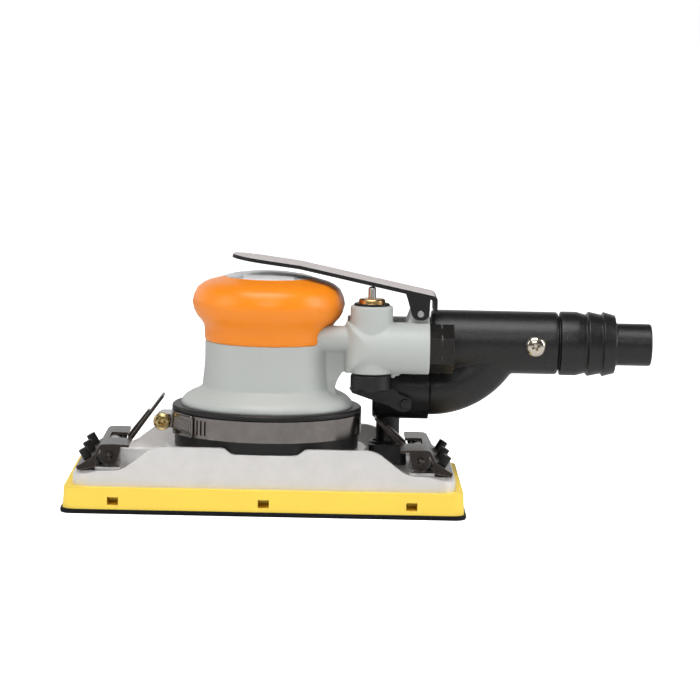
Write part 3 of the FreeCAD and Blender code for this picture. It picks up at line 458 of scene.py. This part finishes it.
# ---------------------------------------------------------------------------------------------
# Grip and top disc. Soft orange rubber moulded over the bell's top, with a grey plate let into
# it that carries a blank pale label.
# ---------------------------------------------------------------------------------------------
orange_grip = finish_of("orange_grip", (0.96, 0.265, 0.003), 0.36, grain=0.35, grain_depth=0.012, cloud=30, tint=0.03,
                        sheen=0.04)
dress(orange_grip, "palm_cap", round_over=0.3, angle=50)
disc_face = finish_of("disc_face", (0.42, 0.44, 0.45), 0.22, grain=0.3, grain_depth=0.006, coat=0.5)
label_half_width, label_blur = 11.0, 0.3
disc_skin = disc_face.node_tree
disc_place = disc_skin.nodes.new("ShaderNodeTexCoord")
disc_axes = disc_skin.nodes.new("ShaderNodeSeparateXYZ")
disc_skin.links.new(disc_place.outputs["Object"], disc_axes.inputs["Vector"])
label_edge = disc_skin.nodes.new("ShaderNodeMath")
label_edge.operation = "ABSOLUTE"
disc_skin.links.new(disc_axes.outputs["X"], label_edge.inputs[0])
on_label = disc_skin.nodes.new("ShaderNodeMapRange")
on_label.inputs["From Min"].default_value = (label_half_width + label_blur) * mm
on_label.inputs["From Max"].default_value = label_half_width * mm
disc_skin.links.new(label_edge.outputs[0], on_label.inputs["Value"])
disc_colour = disc_skin.nodes.new("ShaderNodeMix")
disc_colour.data_type = "RGBA"
disc_colour.inputs["B"].default_value = (0.80, 0.80, 0.80, 1)
disc_skin.links.new(on_label.outputs["Result"], disc_colour.inputs["Factor"])
disc_base = disc_skin.nodes["Principled BSDF"].inputs["Base Color"]
disc_skin.links.new(disc_base.links[0].from_socket, disc_colour.inputs["A"])
disc_skin.links.new(disc_colour.outputs["Result"], disc_base)
dress(disc_face, "top_disc", round_over=0.3)

# ---------------------------------------------------------------------------------------------
# Air motor. Ground steel cylinder, rotor and shaft between two end plates, ball bearings, a balance
# weight under it and the bearing that the pad's spindle turns in.
# ---------------------------------------------------------------------------------------------
dress(bright_steel, "motor_cylinder", "rotor", "eccentric_shaft", "balance_weight", "lock_ring", round_over=0.25)
dress(cast_aluminium, "upper_end_plate", "lower_end_plate", round_over=0.25)
bearing_steel = finish_of("bearing_steel", (0.70, 0.70, 0.71), 0.16, metal=1.0, grain=0.15, grain_depth=0.003)
dress(bearing_steel, "upper_bearing", "lower_bearing", "spindle_bearing", round_over=0.2)
dress(blackened_steel, "bearing_clip", round_over=0.1)
vane_resin = finish_of("vane_resin", (0.24, 0.12, 0.05), 0.5, grain=0.4, grain_depth=0.01)
dress(vane_resin, "rotor_vanes", round_over=0.1)

# ---------------------------------------------------------------------------------------------
# Inlet bushing and screen. Blackened steel hexagon with a turned groove, screwed into the inlet
# pipe, and a brass screen behind its thread.
# ---------------------------------------------------------------------------------------------
dark_bushing = finish_of("dark_bushing", (0.030, 0.028, 0.027), 0.30, metal=0.6, grain=0.3, grain_depth=0.01,
                         worn=(0.30, 0.28, 0.27), worn_width=0.2)
dress(dark_bushing, "inlet_bushing", round_over=0.45)
turned_brass = finish_of("turned_brass", (0.66, 0.42, 0.17), 0.25, metal=1.0, grain=0.2, grain_depth=0.006, tint=0.1)
dress(turned_brass, "inlet_screen", "valve_sleeve", "valve_plug", round_over=0.2)

# ---------------------------------------------------------------------------------------------
# Valve. Steel stem in a brass sleeve with rubber washer and seat. Its return spring stands in the
# housing as one fixed shape on its own copy of the mesh.
# ---------------------------------------------------------------------------------------------
dress(bright_steel, "valve_stem", "lever_pin", round_over=0.15)
return_spring = placed("valve_return_spring", shown["valve_spring"].data.copy(), bright_steel, "housing")
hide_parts("valve_spring")
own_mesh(return_spring)
dress(black_rubber, "valve_washer", "valve_seat", "adapter_seal", round_over=0.2)

# ---------------------------------------------------------------------------------------------
# Regulator knob. Black moulding under the valve tower, with a grip ring.
# ---------------------------------------------------------------------------------------------
dress(black_moulding, "regulator_knob", round_over=0.3)

# ---------------------------------------------------------------------------------------------
# Throttle lever. Steel sheet bent over the grip, coated grey on top; its sides and underside are painted near-black
# as painted shade, chosen by which way each face points.
# ---------------------------------------------------------------------------------------------
lever_coat_and_shade = finish_of("lever_coat_and_shade", (0.46, 0.41, 0.40), 0.34, grain=0.3, grain_depth=0.01, cloud=15, tint=0.05)
lever_skin = lever_coat_and_shade.node_tree
facing = lever_skin.nodes.new("ShaderNodeNewGeometry")
upward = lever_skin.nodes.new("ShaderNodeSeparateXYZ")
lever_skin.links.new(facing.outputs["True Normal"], upward.inputs["Vector"])
# Painted shade by facing: faces that point up keep the grey coat, faces that point sideways or down turn near-black.
up_faces_unshaded = lever_skin.nodes.new("ShaderNodeMapRange")
up_faces_unshaded.inputs["From Min"].default_value = 0.70
up_faces_unshaded.inputs["From Max"].default_value = 0.88
lever_skin.links.new(upward.outputs["Z"], up_faces_unshaded.inputs["Value"])
# The near-black colour below is painted shade for the lever's sides and underside.
coat_and_painted_shade = lever_skin.nodes.new("ShaderNodeMix")
coat_and_painted_shade.data_type = "RGBA"
coat_and_painted_shade.inputs["A"].default_value = (0.006, 0.0055, 0.006, 1)
skin_node = lever_skin.nodes["Principled BSDF"]
top_paint = skin_node.inputs["Base Color"].links[0].from_socket
lever_skin.links.new(top_paint, coat_and_painted_shade.inputs["B"])
lever_skin.links.new(up_faces_unshaded.outputs["Result"], coat_and_painted_shade.inputs["Factor"])
lever_skin.links.new(coat_and_painted_shade.outputs["Result"], skin_node.inputs["Base Color"])
dress(lever_coat_and_shade, "throttle_lever", round_over=0.3)

# ---------------------------------------------------------------------------------------------
# Dust and exhaust path. Black glass-filled nylon: elbow, bend and tube, its side arm and screws,
# and the aluminium jet inside.
# ---------------------------------------------------------------------------------------------
cast_skin("dust_tube_moulding", ["suction_duct", "exhaust_tube"], voxel=0.5, rounds=12, material=black_moulding,
          body="housing")
dress(black_moulding, "suction_elbow", "mount_arm", round_over=0.6)
dress(black_moulding, "hose_adapter", round_over=0.4)
dress(black_moulding, "arm_screw", round_over=0.4)
dress(cast_aluminium, "jet_nozzle", round_over=0.2)


def screw_head(name, radius, rim, dome, shank, recess, spot, outward, tilt):
    """A cross-recess screw: a round head with a rolled rim, a domed top and a shank behind it."""
    turned = bmesh.new()
    outline = [(0, -shank), (radius * 0.45, -shank), (radius * 0.45, 0), (radius * 0.96, 0), (radius, rim * 0.35),
               (radius, rim * 0.75), (radius * 0.95, rim)]
    outline += [(radius * 0.95 * math.cos(math.radians(a)), rim + dome * math.sin(math.radians(a)))
                for a in (15, 30, 45, 60, 75, 90)]
    line = [turned.verts.new((r * mm, 0, z * mm)) for r, z in outline]
    for a, b in zip(line, line[1:]):
        turned.edges.new((a, b))
    bmesh.ops.spin(turned, geom=turned.verts[:] + turned.edges[:], axis=(0, 0, 1), cent=(0, 0, 0),
                   angle=2 * math.pi, steps=48, use_merge=True)
    bmesh.ops.remove_doubles(turned, verts=turned.verts, dist=0.00001)
    bmesh.ops.recalc_face_normals(turned, faces=turned.faces)
    mesh = bpy.data.meshes.new(name)
    turned.to_mesh(mesh)
    turned.free()
    blank = bpy.data.objects.new(name + "_blank", mesh)
    bpy.context.collection.objects.link(blank)
    cutter = bmesh.new()
    for turn in (0, 90):
        half, wide, deep, top = radius * 0.56, recess, rim + dome - radius * 0.55, rim + dome + 1
        spin = Matrix.Rotation(math.radians(turn), 3, "Z")
        corners = [spin @ Vector((x * mm, y * mm, z * mm)) for x, y, z in (
            (-half, -wide, top), (half, -wide, top), (half, wide, top), (-half, wide, top),
            (-half * 0.35, -wide * 0.7, deep), (half * 0.35, -wide * 0.7, deep),
            (half * 0.35, wide * 0.7, deep), (-half * 0.35, wide * 0.7, deep))]
        v = [cutter.verts.new(c) for c in corners]
        for f in ((0, 1, 2, 3), (7, 6, 5, 4), (0, 4, 5, 1), (1, 5, 6, 2), (2, 6, 7, 3), (3, 7, 4, 0)):
            cutter.faces.new([v[i] for i in f])
        tool_mesh = bpy.data.meshes.new("recess_tool")
        bmesh.ops.recalc_face_normals(cutter, faces=cutter.faces)
        cutter.to_mesh(tool_mesh)
        cutter.clear()
        tool = bpy.data.objects.new("recess_tool", tool_mesh)
        bpy.context.collection.objects.link(tool)
        carve = blank.modifiers.new("recess", "BOOLEAN")
        carve.operation = "DIFFERENCE"
        carve.solver = "EXACT"
        carve.object = tool
        bpy.context.view_layer.update()
        carved = bpy.data.meshes.new_from_object(blank.evaluated_get(bpy.context.evaluated_depsgraph_get()))
        blank.modifiers.clear()
        blank.data = carved
        bpy.data.objects.remove(tool)
    cutter.free()
    finished = blank.data
    bpy.data.objects.remove(blank)
    stand_up = Vector(outward).to_track_quat("Z", "Y").to_matrix().to_4x4()
    finished.transform(Matrix.Translation(Vector(spot) * mm) @ stand_up
                       @ Matrix.Rotation(math.radians(tilt), 4, "Z"))
    return finished


def softened(piece, round_over, angle=35):
    """Small rounded edges and even shading on a piece made here."""
    edge = piece.modifiers.new("round_edges", "BEVEL")
    edge.width = round_over * mm
    edge.segments = 2
    edge.limit_method = "ANGLE"
    edge.angle_limit = math.radians(angle)
    weight = piece.modifiers.new("even_shading", "WEIGHTED_NORMAL")
    weight.weight = 60


nickel_screw = finish_of("nickel_screw", (0.74, 0.68, 0.58), 0.20, metal=1.0, grain=0.3, grain_depth=0.008, cloud=1.2,
                         tint=0.25)
low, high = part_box("tube_screw")
pan_seat = ((low[0] + high[0]) / 2 / mm, high[1] / mm - 3.6, (low[2] + high[2]) / 2 / mm)
pan_head = screw_head("tube_pan_screw", radius=4.55, rim=0.9, dome=1.8, shank=3.2, recess=0.62, spot=pan_seat,
                      outward=(0, -1, 0), tilt=20)
tube_screw = placed("tube_pan_screw", pan_head, nickel_screw, "housing")
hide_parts("tube_screw")
softened(tube_screw, 0.12)

# ---------------------------------------------------------------------------------------------
# Shroud and band clamp. Black rubber skirt held on the bell by a bright steel band that a
# zinc-yellow worm screw tightens.
# ---------------------------------------------------------------------------------------------
dress(black_rubber, "rubber_shroud", round_over=0.3)
band_steel = finish_of("band_steel", (0.24, 0.22, 0.207), 0.19, metal=1.0, grain=0.25, grain_depth=0.006, cloud=5,
                       tint=0.30)
dress(band_steel, "clamp_band", "clamp_saddle", round_over=0.15)
yellow_zinc = finish_of("yellow_zinc", (0.62, 0.47, 0.22), 0.24, metal=1.0, grain=0.3, grain_depth=0.01, cloud=1.5,
                        tint=0.3)
low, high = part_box("clamp_screw")
worm_seat = (low[0] / mm + 4, low[1] / mm + 3, (low[2] + high[2]) / 2 / mm)
worm_head = screw_head("clamp_worm_screw", radius=3.95, rim=2.0, dome=0.9, shank=14.5, recess=0.75, spot=worm_seat,
                       outward=(0, -1, 0), tilt=12)
worm = placed("clamp_worm_screw", worm_head, yellow_zinc, "housing")
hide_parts("clamp_screw")
softened(worm, 0.12)


def worm_cover(name, radius, thick, start, stop, bottom, top, ribs):
    """The pressed cover that is folded round the band over the worm, with the thread's teeth showing."""
    sheet = bmesh.new()
    across, along = 22, 64
    edge_round, window_half, rib_slant = 1.1, 0.30, 0.8
    skins = []
    for depth in (thick, 0):
        rows = []
        for j in range(across + 1):
            v = j / across
            row = []
            for i in range(along + 1):
                u = i / along
                rounding = edge_round * max(0.0, abs(v - 0.5) * 2 - 0.72) / 0.28
                turn = start + (stop - start) * u
                turn += (rounding ** 2) * edge_round * (1 if u < 0.5 else -1) * abs(u - 0.5) * 2
                lift = 0.0
                if depth:
                    window = max(0.0, 1 - abs(v - 0.5) / window_half)
                    teeth = 0.5 + 0.5 * math.cos(2 * math.pi * (ribs * u + rib_slant * v))
                    ends = max(0.0, min(1.0, min(u, 1 - u) * 8))
                    lift = min(1.0, window * 3) * ends * (0.45 * teeth - 0.25)
                    lift += (0.35 * max(0.0, 1 - abs(u - 0.98) / 0.04)
                             + 0.3 * max(0.0, abs(v - 0.5) * 2 - 0.86) / 0.14)
                a = math.radians(turn)
                r = radius + depth + lift
                height = bottom + (top - bottom) * v
                row.append(sheet.verts.new((r * math.cos(a) * mm, r * math.sin(a) * mm, height * mm)))
            rows.append(row)
        skins.append(rows)
    outer, inner = skins
    for j in range(across):
        for i in range(along):
            sheet.faces.new((outer[j][i], outer[j][i + 1], outer[j + 1][i + 1], outer[j + 1][i]))
            sheet.faces.new((inner[j][i], inner[j + 1][i], inner[j + 1][i + 1], inner[j][i + 1]))
    for i in range(along):
        for j, flip in ((0, 1), (across, -1)):
            sheet.faces.new((outer[j][i], inner[j][i], inner[j][i + 1], outer[j][i + 1])[::flip])
    for j in range(across):
        for i, flip in ((0, -1), (along, 1)):
            sheet.faces.new((outer[j][i], inner[j][i], inner[j + 1][i], outer[j + 1][i])[::flip])
    bmesh.ops.recalc_face_normals(sheet, faces=sheet.faces)
    mesh = bpy.data.meshes.new(name)
    sheet.to_mesh(mesh)
    sheet.free()
    return mesh


worm_shell = worm_cover("worm_cover", radius=42.45, thick=0.6, start=196, stop=222, bottom=31.5, top=41.3, ribs=11)
placed("worm_cover", worm_shell, band_steel, "housing")
